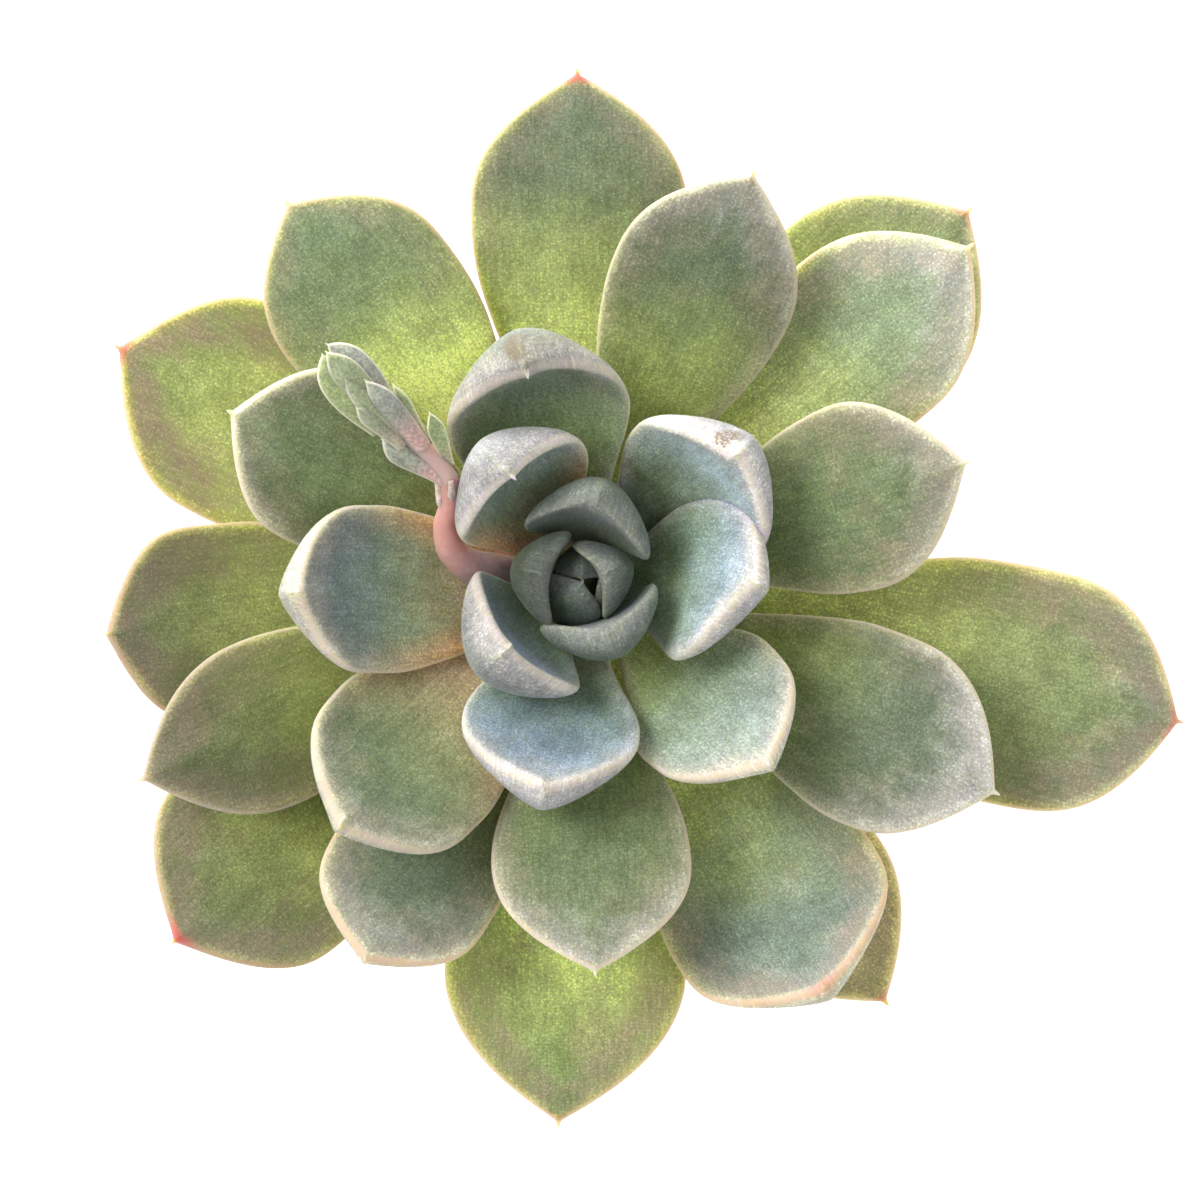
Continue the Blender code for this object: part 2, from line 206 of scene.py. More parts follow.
def lamp(name, turn, height_angle, distance, side, power, colour):
    """A square soft lamp that faces the rosette. Angles are in degrees, distance and side in metres."""
    light = bpy.data.lights.new(name, "AREA")
    light.size = side
    light.energy = power
    light.color = colour
    aim = Vector((0, 0, ROSETTE_HEIGHT))
    turn, rise = math.radians(turn), math.radians(height_angle)
    towards = Vector((math.cos(turn) * math.cos(rise), math.sin(turn) * math.cos(rise), math.sin(rise)))
    made = bpy.data.objects.new(name, light)
    made.location = aim + towards * distance
    made.rotation_euler = (-towards).to_track_quat("-Z", "Y").to_euler()
    bpy.context.scene.collection.objects.link(made)


lamp("lamp_left", 155, 48, 0.9, 0.45, 6.3, (1.0, 0.98, 0.95))
lamp("lamp_right", -30, 60, 1.0, 0.6, 1.0, (0.94, 0.97, 1.0))
lamp("lamp_behind", 112, 8, 0.6, 0.4, 4.5, (1.0, 0.97, 0.88))

# ================================================================ pot
# A plain clay pot, turned on a wheel and fired unglazed: a tapered wall, a thicker band at the mouth and
# four drainage holes in its foot.

POT_FOOT, POT_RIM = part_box("pot")
POT_HEIGHT = POT_RIM.z
RIM_RADIUS = POT_RIM.x
FOOT_RADIUS = 20 * MM
RIM_BAND = 13 * MM
RIM_STEP = 2 * MM
WALL = 3 * MM
POT_FLOOR = 4 * MM
POT_EDGE = 0.8 * MM
BAND_FOOT = POT_HEIGHT - RIM_BAND
HOLE_RADIUS = 2.5 * MM
HOLE_CIRCLE = 11 * MM
HOLE_TURN = 4.5
POT_SIDES = 160
SPONGED_EDGE = 1.3 * MM
HAND_WOBBLE = 0.12 * MM
BAKED_DARK = (0.42, 0.165, 0.085)
BAKED_LIGHT = (0.51, 0.225, 0.12)
CLAY_GRAIN = (0.40, 0.16, 0.085)
CLAY_SAND = (0.76, 0.52, 0.36)
CLAY_SALTS = (0.78, 0.68, 0.60)
CLAY_DAMP = (0.30, 0.115, 0.06)


def clay_finish():
    clay = Finish("fired_clay", Specular_IOR_Level=0.3)
    place = clay.place()
    height = clay.node("SeparateXYZ", None, {0: place}, output=2)
    broad = clay.clouds(place, 45.0, 3.0)
    fine = clay.clouds(place, 900.0, 4.0, 0.65)
    fired = clay.blend(clay.step(broad, 0.3, 0.7), BAKED_DARK, BAKED_LIGHT)
    fired = clay.blend(clay.step(fine, 0.35, 0.75) * 0.45, fired, CLAY_GRAIN)
    sand = clay.cells(place, 1500.0)
    fired = clay.blend(clay.step(sand, 0.10, 0.22, 1.0, 0.0) * 0.35, fired, CLAY_SAND)
    salts = clay.step(clay.clouds(place, 70.0, 5.0, 0.6), 0.50, 0.72)
    near_foot = clay.step(height, 0.30 * POT_HEIGHT, 0.05 * POT_HEIGHT)
    near_band = clay.step(height, BAND_FOOT - 6 * MM, BAND_FOOT + 4 * MM)
    fired = clay.blend(salts * (near_foot + near_band) * 0.40, fired, CLAY_SALTS)
    damp = clay.step(height, POT_HEIGHT - 9 * MM, POT_HEIGHT - 24 * MM)
    fired = clay.blend(damp * clay.step(broad, 0.7, 0.3) * 0.25, fired, CLAY_DAMP)
    sockets = {"Vector": place, "Scale": 260.0, "Distortion": 1.2}
    turning_marks = clay.relief(clay.node("TexWave", {"bands_direction": "Z"}, sockets), 0.05 * MM)
    rough = clay.relief(fine, 0.09 * MM, turning_marks)
    return clay.set(Base_Color=fired, Roughness=0.80 + 0.12 * fine, Normal=rough)


def wall_radius(height):
    return FOOT_RADIUS + (RIM_RADIUS - RIM_STEP - FOOT_RADIUS) * min(height / BAND_FOOT, 1)


def rounded(profile, size):
    """The outline with each inner corner replaced by a short arc, as a wet sponge leaves it."""
    smooth = [profile[0]]
    for before, corner, after in zip(profile, profile[1:], profile[2:]):
        back, on = (before - corner), (after - corner)
        reach = min(size, back.length * 0.4, on.length * 0.4)
        start, end = corner + back.normalized() * reach, corner + on.normalized() * reach
        for share in (0.0, 0.25, 0.5, 0.75, 1.0):
            smooth.append(start.lerp(corner, share).lerp(corner.lerp(end, share), share))
    return smooth + [profile[-1]]


def turn_round(bm, steps):
    """Spins everything in the bmesh one full turn about the pot's middle line, as on a wheel."""
    bmesh.ops.spin(
        bm, geom=bm.verts[:] + bm.edges[:], axis=(0, 0, 1), cent=(0, 0, 0), angle=math.tau, steps=steps,
        use_merge=True,
    )


def turn_pot(finish):
    mouth = wall_radius(POT_HEIGHT) - WALL
    corners = [
        (0, 0), (FOOT_RADIUS, 0), (wall_radius(BAND_FOOT), BAND_FOOT), (RIM_RADIUS, BAND_FOOT + POT_EDGE),
        (RIM_RADIUS, POT_HEIGHT), (mouth, POT_HEIGHT), (mouth, BAND_FOOT),
        (wall_radius(POT_FLOOR) - WALL, POT_FLOOR), (0, POT_FLOOR),
    ]
    profile = rounded([Vector((radius, height)) for radius, height in corners], SPONGED_EDGE)
    bm = bmesh.new()
    line = [bm.verts.new((point.x, 0, point.y)) for point in profile]
    edges = [bm.edges.new(pair) for pair in zip(line, line[1:])]
    walls = [edge for edge in edges if edge.calc_length() > 6 * MM]
    bmesh.ops.subdivide_edges(bm, edges=walls, cuts=14)
    turn_round(bm, POT_SIDES)
    bmesh.ops.remove_doubles(bm, verts=bm.verts, dist=0.01 * MM)
    for vert in bm.verts:
        if vert.co.z > 2 * MM:
            swell = noise.noise(vert.co * 60) * HAND_WOBBLE
            outwards = Vector((vert.co.x, vert.co.y, 0)).normalized()
            vert.co += outwards * swell
    pot = keep("clay_pot", bm, finish, sharp=60)
    cutters = bmesh.new()
    for hole in range(4):
        angle = math.radians(90 * hole + HOLE_TURN)
        drill = bmesh.ops.create_cone(
            cutters, cap_ends=True, segments=32, radius1=HOLE_RADIUS, radius2=HOLE_RADIUS, depth=3 * POT_FLOOR
        )
        place = (HOLE_CIRCLE * math.cos(angle), HOLE_CIRCLE * math.sin(angle), POT_FLOOR / 2)
        bmesh.ops.translate(cutters, verts=drill["verts"], vec=place)
    drills = keep("drain_drills", cutters, finish)
    cut = pot.modifiers.new("drain_holes", "BOOLEAN")
    cut.operation = "DIFFERENCE"
    cut.object = drills
    bpy.context.view_layer.update()
    drilled = bpy.data.meshes.new_from_object(pot.evaluated_get(bpy.context.evaluated_depsgraph_get()))
    pot.modifiers.clear()
    pot.data = drilled
    bpy.data.objects.remove(drills)
    return pot


pot = turn_pot(clay_finish())
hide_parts("pot")
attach(pot, "root")

# ================================================================ soil
# Gritty potting mix, a little heaped at the stem: dark crumbs with pale pumice and brown bark bits pressed
# into the surface.

SOIL_LOW, SOIL_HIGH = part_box("soil")
SOIL_RADIUS = SOIL_HIGH.x
SOIL_TOP = SOIL_HIGH.z
SOIL_DOME = 2 * MM
ROOT_ROOM = 6.1 * MM
SOIL_SIDES = 120
PUMICE_PIECES = 140
BARK_PIECES = 280
EARTH_DARK = (0.035, 0.022, 0.014)
EARTH_LIGHT = (0.10, 0.065, 0.04)
EARTH_CRUMB = (0.16, 0.11, 0.07)
PUMICE_DARK = (0.42, 0.38, 0.32)
PUMICE_LIGHT = (0.72, 0.69, 0.62)
BARK_DARK = (0.075, 0.04, 0.022)
BARK_LIGHT = (0.20, 0.12, 0.07)


def soil_finish():
    soil = Finish("potting_mix", Specular_IOR_Level=0.25)
    place = soil.place()
    crumbs = soil.cells(place, 650.0)
    broad = soil.clouds(place, 260.0, 4.0, 0.6)
    earth = soil.blend(soil.step(broad, 0.35, 0.7), EARTH_DARK, EARTH_LIGHT)
    earth = soil.blend(soil.step(crumbs, 0.05, 0.45, 0.5, 0.0), earth, EARTH_CRUMB)
    rough = soil.relief(soil.clouds(place, 1400.0, 3.0, 0.7), 0.2 * MM)
    return soil.set(Base_Color=earth, Roughness=0.88 + 0.1 * broad, Normal=rough)


def grit_finish(name, dark, light):
    grit = Finish(name, Specular_IOR_Level=0.3)
    place = grit.place()
    speck = grit.clouds(place, 700.0, 3.0, 0.7)
    stone = grit.blend(grit.step(speck, 0.3, 0.7), dark, light)
    rough = grit.relief(grit.cells(place, 2600.0), 0.08 * MM)
    return grit.set(Base_Color=stone, Roughness=0.8 + 0.15 * speck, Normal=rough)


def soil_height(radius):
    share = max(0, 1 - radius / SOIL_RADIUS)
    return SOIL_TOP - SOIL_DOME * (1 - share**0.8)


def heap_soil(finish):
    """The body of the mix, turned, then its top roughened."""
    bm = bmesh.new()
    wall = wall_radius(POT_FLOOR) - WALL - 0.4 * MM
    foot = [(ROOT_ROOM, POT_FLOOR + 0.4 * MM), (wall, POT_FLOOR + 0.4 * MM), (SOIL_RADIUS, BAND_FOOT)]
    top = [(SOIL_RADIUS + (ROOT_ROOM - SOIL_RADIUS) * step / 24) for step in range(25)]
    points = foot + [(radius, soil_height(radius)) for radius in top]
    line = [bm.verts.new((radius, 0, height)) for radius, height in points]
    for pair in zip(line, line[1:] + line[:1]):
        bm.edges.new(pair)
    turn_round(bm, SOIL_SIDES)
    for vert in bm.verts:
        radius = math.hypot(vert.co.x, vert.co.y)
        if vert.co.z > SOIL_TOP - 2 * SOIL_DOME and radius < SOIL_RADIUS - 0.5 * MM:
            vert.co.z += 0.45 * MM * noise.noise(vert.co * 420) + 0.5 * MM * noise.noise(vert.co * 170)
    return keep("potting_mix", bm, finish)


def scatter_grit(name, finish, pieces, sizes, draw):
    """Small broken stones, each pressed about halfway into the mix."""
    bm = bmesh.new()
    for _ in range(pieces):
        radius = math.sqrt(draw.uniform((ROOT_ROOM + MM) ** 2, (SOIL_RADIUS - 1.5 * MM) ** 2))
        angle = draw.uniform(0, math.tau)
        size = draw.uniform(*sizes) / 2
        height = soil_height(radius) + size * 0.35
        centre = Vector((radius * math.cos(angle), radius * math.sin(angle), height))
        stone = bmesh.ops.create_icosphere(bm, subdivisions=1, radius=size)["verts"]
        stretch = Vector((draw.uniform(0.7, 1.2), draw.uniform(0.7, 1.2), draw.uniform(0.5, 0.9)))
        for vert in stone:
            bulge = 1 + 0.35 * noise.noise(vert.co * 900 + centre * 2000)
            vert.co = Vector(a * b for a, b in zip(vert.co, stretch)) * bulge + centre
    return keep(name, bm, finish)


grit_draw = random.Random(7)
soil = heap_soil(soil_finish())
pumice_skin = grit_finish("pumice", PUMICE_DARK, PUMICE_LIGHT)
pumice = scatter_grit("pumice_grit", pumice_skin, PUMICE_PIECES, (1.0 * MM, 2.6 * MM), grit_draw)
bark_skin = grit_finish("bark_bits", BARK_DARK, BARK_LIGHT)
bark = scatter_grit("bark_grit", bark_skin, BARK_PIECES, (0.8 * MM, 2.4 * MM), grit_draw)
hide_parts("soil")
for piece in (soil, pumice, bark):
    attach(piece, "root")

# ================================================================ stem
# The short woody stem that every leaf grows from. Old leaf scars ring its lower part, and it closes to a
# small green growing point between the youngest leaves.

LOWEST_LEAF = 4 * MM
LEAF_PITCH = 0.62 * MM
STEM_RADIUS = 5.5 * MM
SHOULDER_LEAF = 19
APEX_RADIUS = 1.2 * MM
LEAF_GAP = 0.3 * MM
LEAF_COUNT = 34
ROOT_TIP = SOIL_TOP - 18 * MM
SCAR_PITCH = 2.1 * MM
SCAR_DEPTH = 0.22 * MM
BARK_ROUGHNESS = 0.15 * MM
STEM_RINGS = 90
STEM_SIDES = 48
WOOD_DARK = (0.24, 0.16, 0.09)
WOOD_LIGHT = (0.46, 0.36, 0.22)
YOUNG_DARK = (0.20, 0.30, 0.12)
YOUNG_LIGHT = (0.36, 0.44, 0.20)


def base_height(order):
    """The height on the stem of the leaf with this place in the spiral, counted from 0."""
    return POT_HEIGHT + LOWEST_LEAF + order * LEAF_PITCH


STEM_SHOULDER = base_height(SHOULDER_LEAF)
STEM_TOP = base_height(LEAF_COUNT) + APEX_RADIUS


def stem_radius(height):
    share = min(max((height - STEM_SHOULDER) / (STEM_TOP - STEM_SHOULDER), 0), 1)
    return STEM_RADIUS + (APEX_RADIUS - STEM_RADIUS) * share


def stem_finish():
    skin = Finish(
        "stem_skin", Subsurface_Weight=0.35, Subsurface_Radius=(1.0, 0.7, 0.3), Subsurface_Scale=1.2 * MM,
    )
    place = skin.place()
    height = skin.node("SeparateXYZ", None, {0: place}, output=2)
    upright = skin.node("Mapping", None, {"Vector": place, "Scale": (900, 900, 220)})
    fibres = skin.clouds(upright, 1.0, 4.0, 0.6)
    young = skin.step(height, POT_HEIGHT + 6 * MM, STEM_SHOULDER)
    wood = skin.blend(skin.step(fibres, 0.3, 0.7), WOOD_DARK, WOOD_LIGHT)
    green = skin.blend(skin.step(fibres, 0.3, 0.7), YOUNG_DARK, YOUNG_LIGHT)
    rough = skin.relief(fibres, 0.15 * MM)
    return skin.set(Base_Color=skin.blend(young, wood, green), Roughness=0.6 + 0.25 * fibres, Normal=rough)


def grow_stem(finish):
    heights = [ROOT_TIP + (STEM_TOP - ROOT_TIP) * step / STEM_RINGS for step in range(STEM_RINGS + 1)]
    bm = bmesh.new()
    line = [bm.verts.new((0, 0, ROOT_TIP - 0.8 * MM))]
    for height in heights:
        root = min(1, max(0.3, (height - ROOT_TIP) / (SOIL_TOP - ROOT_TIP)))
        line.append(bm.verts.new((stem_radius(height) * root, 0, height)))
    line.append(bm.verts.new((0, 0, STEM_TOP + 0.5 * MM)))
    for pair in zip(line, line[1:]):
        bm.edges.new(pair)
    turn_round(bm, STEM_SIDES)
    bmesh.ops.remove_doubles(bm, verts=bm.verts, dist=0.01 * MM)
    for vert in bm.verts:
        outwards = Vector((vert.co.x, vert.co.y, 0))
        if outwards.length < 0.2 * MM:
            continue
        lean = math.atan2(vert.co.y, vert.co.x)
        scar = 0.5 + 0.5 * math.sin(math.tau * vert.co.z / SCAR_PITCH + 3 * lean)
        swell = SCAR_DEPTH * (scar**2 - 0.7) + BARK_ROUGHNESS * noise.noise(vert.co * 300)
        vert.co += outwards.normalized() * swell
    return keep("woody_stem", bm, finish)


stem = grow_stem(stem_finish())
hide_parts("stem")
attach(stem, "root")

# ================================================================ leaves
# Thick water-filled leaves in one spiral, the oldest lowest. Each is a closed blade with a rounded pale
# margin and a short sharp point; its skin is pebbled in rows and dusted with a grey-blue bloom.

# Where a leaf is widest, as a share of its length: by ring of the rosette, and for the spoon-shaped ones.
WIDEST_AT = {"outer": 0.70, "middle": 0.70, "inner": 0.58, "heart": 0.62, "bract": 0.70, "bud": 0.62}
SPOON_LEAVES = {"middle_leaf_07": 0.64, "middle_leaf_08": 0.56, "middle_leaf_09": 0.60, "inner_leaf_04": 0.54}
# How far a leaf is rolled about its own length by the time it reaches its point, in degrees.
ROLLED_LEAVES = {"inner_leaf_04": -26, "middle_leaf_08": -8, "middle_leaf_09": 8, "outer_leaf_05": 5}
# A leaf's width at the stem, as a share of its widest.
BASE_SHARE = 0.2
BROAD_BASES = {
    "bract": 0.6, "bud": 0.7, "inner": 0.45, "middle_leaf_07": 0.5, "middle_leaf_08": 0.3,
    "middle_leaf_09": 0.6, "outer_leaf_12": 0.3,
}
BLUNT_LEAVES = ("outer_leaf_08", "outer_leaf_12", "middle_leaf_09")
# Where a leaf is thickest, its thickness at the stem for that, and how much of it lies above the midrib.
THICKEST_AT = 0.5
BASE_THICKNESS = 0.5
UPPER_SHARE = 0.42
CAD_EDGE = 0.55 * MM
# The margin is round, with a radius in millimetres, or less where the leaf is thin for that.
MARGIN_RADIUS = {"outer": 0.6, "middle": 0.75, "inner": 0.9, "heart": 0.85}
THIN_MARGIN = 0.3
POINT_LENGTH = 0.8 * MM
POINT_RADIUS = 0.25 * MM
WAVE = 0.45 * MM
FRILL = 0.018
MIDRIB_STEPS = 64
LEAF_SIDES = 64
LEAF_RINGS = 84
POINT_RINGS = 5
RING_CROWDING = 1.25

# One leaf of the spiral, oldest and lowest first. turn is the way it points, counted from +X in degrees;
# length, half_width and thickness are in millimetres; rise and tip are its slopes at the stem and at the
# point; bend is how late it curves, swing how far it veers sideways, cup how far its margins rise for their
# width, and fullness how blunt its outline is.
Leaf = namedtuple("Leaf", "name turn length half_width thickness rise tip bend swing cup fullness")
LEAVES = [
    Leaf("outer_leaf_01", 44, 54.5, 12.6, 4.6, 12, 12, 1.6, 0, 0.16, 2.5),
    Leaf("outer_leaf_02", 306, 52, 10.2, 4.6, 8.5, 12, 1.6, 0, 0.12, 2.2),
    Leaf("outer_leaf_03", 267.5, 54.5, 13.4, 4.8, 13, 8, 1.6, 0, 0.16, 2.1),
    Leaf("outer_leaf_04", 153, 52.5, 12.5, 4.6, 12, 14, 1.6, 0, 0.16, 2.6),
    Leaf("outer_leaf_05", 347, 62.5, 13.3, 5.0, 13, 8, 1.6, 0, 0.14, 3.4),
    Leaf("outer_leaf_06", 219.5, 55.8, 12.8, 4.8, 10.5, 40, 4.0, 4, 0.13, 3.3),
    Leaf("outer_leaf_07", 90.5, 51.5, 12.0, 5.0, 16, 12, 1.6, 0, 0.16, 2.5),
    Leaf("outer_leaf_08", 186, 49.5, 10.8, 5.0, 17.5, 40, 4.0, 0, 0.16, 4.2),
    Leaf("outer_leaf_09", 301, 52.5, 12.6, 5.2, 12, 110, 6.5, 0, 0.26, 3.0),
    Leaf("outer_leaf_10", 41, 52, 10.8, 5.0, 18, 14, 1.6, 0, 0.16, 2.6),
    Leaf("outer_leaf_11", 126, 48.5, 10.8, 5.0, 20, 15, 1.6, 4, 0.16, 3.0),
    Leaf("outer_leaf_12", 240, 46, 9.8, 4.8, 18, 66, 5.0, 0, 0.20, 3.8),
    Leaf("middle_leaf_01", 334.5, 46.5, 10.9, 5.0, 22, 12, 1.6, -3, 0.18, 2.4),
    Leaf("middle_leaf_02", 204, 48.5, 9.4, 5.0, 22, 12, 1.6, 0, 0.18, 2.2),
    Leaf("middle_leaf_03", 69, 45, 10.3, 5.0, 26, 15, 1.6, -4, 0.18, 2.4),
    Leaf("middle_leaf_04", 17.5, 40.5, 10.3, 5.0, 26, 18, 1.6, 0, 0.18, 2.2),
    Leaf("middle_leaf_05", 272, 39.5, 10.9, 5.0, 26, 26, 1.8, 0, 0.18, 2.4),
    Leaf("middle_leaf_06", 154, 40.5, 9.8, 5.0, 28, 30, 1.8, 0, 0.20, 2.8),
    Leaf("middle_leaf_07", 225, 38.4, 10.6, 5.0, 28, 74, 4.0, 0, 0.22, 3.2),
    Leaf("middle_leaf_08", 316, 29, 9.3, 4.8, 32, 72, 3.2, 0, 0.26, 3.0),
    Leaf("middle_leaf_09", 183, 34.6, 9.2, 4.8, 32, 106, 5.0, -4, 0.28, 3.0),
    Leaf("inner_leaf_01", 38, 26.2, 9.6, 4.6, 32, 110, 3.0, 8, 0.38, 3.0),
    Leaf("inner_leaf_02", 257, 26.9, 9.7, 4.6, 35, 98, 3.0, 8, 0.34, 2.8),
    Leaf("inner_leaf_03", 104.5, 33.2, 10.0, 4.6, 28, 145, 3.4, 0, 0.46, 2.8),
    Leaf("inner_leaf_04", 1.5, 21.6, 9.4, 4.4, 40, 78, 2.4, -4, 0.26, 2.5),
    Leaf("inner_leaf_05", 221, 20.6, 8.4, 4.0, 52, 138, 2.6, 0, 0.48, 2.6),
    Leaf("inner_leaf_06", 122, 26.2, 8.4, 3.2, 41, 150, 2.8, 10, 0.44, 2.6),
    Leaf("heart_leaf_01", 80, 17.2, 7.0, 3.0, 63, 96, 1.8, -8, 0.60, 3.2),
    Leaf("heart_leaf_02", 298, 13.6, 6.7, 2.8, 71, 106, 1.8, -12, 0.50, 3.0),
    Leaf("heart_leaf_03", 167, 14.5, 5.2, 2.8, 79, 108, 1.8, 0, 0.52, 2.4),
    Leaf("heart_leaf_04", 24, 12, 4.5, 2.3, 90, 103, 1.8, 0, 0.62, 2.6),
    Leaf("heart_leaf_05", 235, 10.4, 3.7, 1.9, 84, 156, 1.4, 0, 0.28, 2.2),
    Leaf("heart_leaf_06", 88, 8.8, 3.1, 1.5, 85, 145, 1.4, 0, 0.45, 2.2),
    Leaf("heart_leaf_07", 345, 6.8, 2.4, 1.3, 86, 118, 1.4, 0, 0.45, 2.2),
]

# How each leaf is coloured. fresh is how far the colour nearest the stem shows from it: yellow-green flesh,
# partly a painted glow, on outer and middle leaves, and dark green painted shade on inner and heart leaves.
# bloom is how thickly the grey powder lies, blue its hue, border how brown the skin is inside the margin, red
# how much the point has coloured, frost how white the tip is, and warm how beige the flesh turns near the
# stem, which above one half also paints an orange glow of light through the base: 0 is none and 1 a good
# deal, and fresh below 0 lets the powder start lower. light and pale are how bright the flesh and the powder
# are, where 1 is usual; they are partly painted light and shade, set leaf by leaf to lighten leaves that lie
# in shadow and to darken others, the heart leaves most.
Tone = namedtuple("Tone", "fresh bloom blue border red light pale frost warm")
TONES = {
    "outer_leaf_01": Tone(0.85, 0.2, 0.1, 0.3, 0.5, 1.1, 1.1, 0.15, 0.0),
    "outer_leaf_02": Tone(1.4, 0.0, 0.0, 0.35, 0.6, 1.05, 1.2, 0.0, 0.8),
    "outer_leaf_03": Tone(0.92, 0.18, 0.0, 0.72, 0.3, 1.15, 0.95, 0.1, 0.0),
    "outer_leaf_04": Tone(1.0, 0.05, 0.0, 0.95, 0.9, 1.0, 1.0, 0.0, 0.1),
    "outer_leaf_05": Tone(0.7, 0.5, 0.0, 0.8, 0.8, 1.04, 1.15, 0.34, 0.1),
    "outer_leaf_06": Tone(1.05, 0.48, 0.0, 0.75, 0.9, 0.86, 0.45, 0.15, 0.0),
    "outer_leaf_07": Tone(0.66, 0.62, 0.35, 0.35, 0.9, 1.0, 0.72, 0.05, 0.0),
    "outer_leaf_08": Tone(1.15, 0.48, 0.0, 0.85, 0.0, 0.6, 0.4, 0.1, 0.0),
    "outer_leaf_09": Tone(0.5, 0.65, 0.6, 0.65, 0.3, 1.1, 1.5, 0.6, 0.0),
    "outer_leaf_10": Tone(0.5, 0.55, 0.3, 0.55, 0.1, 1.25, 1.8, 1.0, 0.1),
    "outer_leaf_11": Tone(0.72, 0.52, 0.6, 0.25, 0.1, 1.4, 0.62, 0.05, 0.0),
    "outer_leaf_12": Tone(0.4, 0.55, 0.5, 0.5, 0.0, 0.9, 1.0, 0.6, 0.0),
    "middle_leaf_01": Tone(0.44, 0.6, 0.4, 0.35, 0.0, 0.76, 0.84, 1.0, 0.0),
    "middle_leaf_02": Tone(0.95, 0.48, 0.0, 0.7, 0.1, 0.56, 0.37, 0.06, 0.0),
    "middle_leaf_03": Tone(0.55, 0.6, 0.4, 0.45, 0.1, 0.86, 0.56, 0.4, 0.0),
    "middle_leaf_04": Tone(0.12, 0.45, 0.2, 0.6, 0.0, 0.88, 0.95, 0.5, 0.1),
    "middle_leaf_05": Tone(0.2, 0.5, 0.2, 0.35, 0.0, 1.0, 1.0, 0.5, 0.0),
    "middle_leaf_06": Tone(0.2, 0.4, 0.2, 0.4, 0.0, 0.95, 0.8, 0.15, 0.1),
    "middle_leaf_07": Tone(0.4, 0.6, 0.45, 0.3, 0.0, 1.2, 0.68, 0.25, 1.0),
    "middle_leaf_08": Tone(0.05, 0.85, 0.5, 0.12, 0.0, 1.2, 1.7, 0.4, 0.1),
    "middle_leaf_09": Tone(0.2, 0.8, 0.9, 0.4, 0.0, 1.15, 0.88, 0.45, 1.0),
    "inner_leaf_01": Tone(0.5, 0.95, 0.7, 0.15, 0.0, 0.95, 1.9, 0.25, 0.0),
    "inner_leaf_02": Tone(-0.1, 0.95, 1.0, 0.12, 0.0, 1.0, 1.5, 0.25, 0.3),
    "inner_leaf_03": Tone(0.1, 0.8, 0.5, 0.2, 0.0, 1.6, 0.76, 0.08, 0.1),
    "inner_leaf_04": Tone(0.25, 1.0, 0.9, 0.1, 0.0, 1.3, 1.62, 0.5, 0.0),
    "inner_leaf_05": Tone(-0.8, 1.0, 1.0, 0.1, 0.0, 2.0, 1.02, 0.2, 0.2),
    "inner_leaf_06": Tone(0.1, 0.9, 0.6, 0.15, 0.0, 1.05, 1.34, 0.2, 1.0),
    "heart_leaf_01": Tone(0.0, 0.85, 0.8, 0.1, 0.0, 0.9, 0.52, 0.18, 0.0),
    "heart_leaf_02": Tone(0.0, 0.85, 0.8, 0.1, 0.0, 0.9, 0.72, 0.28, 0.0),
    "heart_leaf_03": Tone(0.0, 0.8, 0.8, 0.1, 0.0, 0.75, 0.31, 0.08, 0.0),
    "heart_leaf_04": Tone(0.0, 0.75, 0.5, 0.1, 0.0, 0.7, 0.54, 0.16, 0.0),
    "heart_leaf_05": Tone(0.0, 0.7, 0.4, 0.1, 0.0, 0.6, 0.66, 0.15, 0.0),
    "heart_leaf_06": Tone(0.0, 0.7, 0.4, 0.1, 0.0, 0.5, 0.5, 0.05, 0.0),
    "heart_leaf_07": Tone(0.0, 0.7, 0.4, 0.1, 0.0, 0.45, 0.5, 0.05, 0.0),
}

# Yellow-green flesh, made brighter than the flesh itself as a painted glow of light through the leaf bases.
FLESH_AND_GLOW = (0.80, 0.90, 0.30)
GREEN = (0.25, 0.36, 0.11)
POWDER_GREEN = (0.31, 0.345, 0.215)
POWDER_BLUE = (0.26, 0.345, 0.43)
# Underside colour by ring; the heart's dark one is partly painted shade deep in the rosette.
UNDERSIDE = {
    "outer": (0.42, 0.44, 0.34), "middle": (0.44, 0.44, 0.42),
    "inner": (0.325, 0.325, 0.385), "heart": (0.125, 0.19, 0.18),
}
# Colour nearest the stem by ring: bright flesh on outer and middle leaves, partly painted glow, and dark
# green on inner and heart leaves as painted shade deep in the rosette.
STEM_END_GLOW_AND_SHADE = {
    "outer": FLESH_AND_GLOW, "middle": (0.60, 0.70, 0.20), "inner": (0.13, 0.17, 0.09), "heart": (0.08, 0.11, 0.08),
}
BEIGE = (0.80, 0.62, 0.40)
# Orange painted glow of light shining through the leaf bases.
PAINTED_BASE_GLOW = (0.90, 0.56, 0.28)
FROST = (0.88, 0.86, 0.84)
BROWNED = (0.36, 0.27, 0.19)
TANNED = (0.60, 0.47, 0.31)
MARGIN = {
    "outer": (0.68, 0.47, 0.38), "middle": (0.84, 0.69, 0.60),
    "inner": (0.86, 0.74, 0.66), "heart": (0.70, 0.62, 0.54),
}
RIM_SHARE = {"outer": 0.78, "middle": 0.60, "inner": 0.40, "heart": 0.10}
# Colour of the band along thin margins: paler than the blade, partly the margin's own colour and partly a
# painted glow of light through the thin edge, and on the heart leaves darker, as painted shade.
THIN_EDGE = {
    "outer": (0.66, 0.55, 0.36), "middle": (0.76, 0.66, 0.56),
    "inner": (0.64, 0.58, 0.60), "heart": (0.26, 0.32, 0.29),
}
SUNNED_EDGE = (0.70, 0.50, 0.21)
POINT_RED = (0.55, 0.07, 0.11)
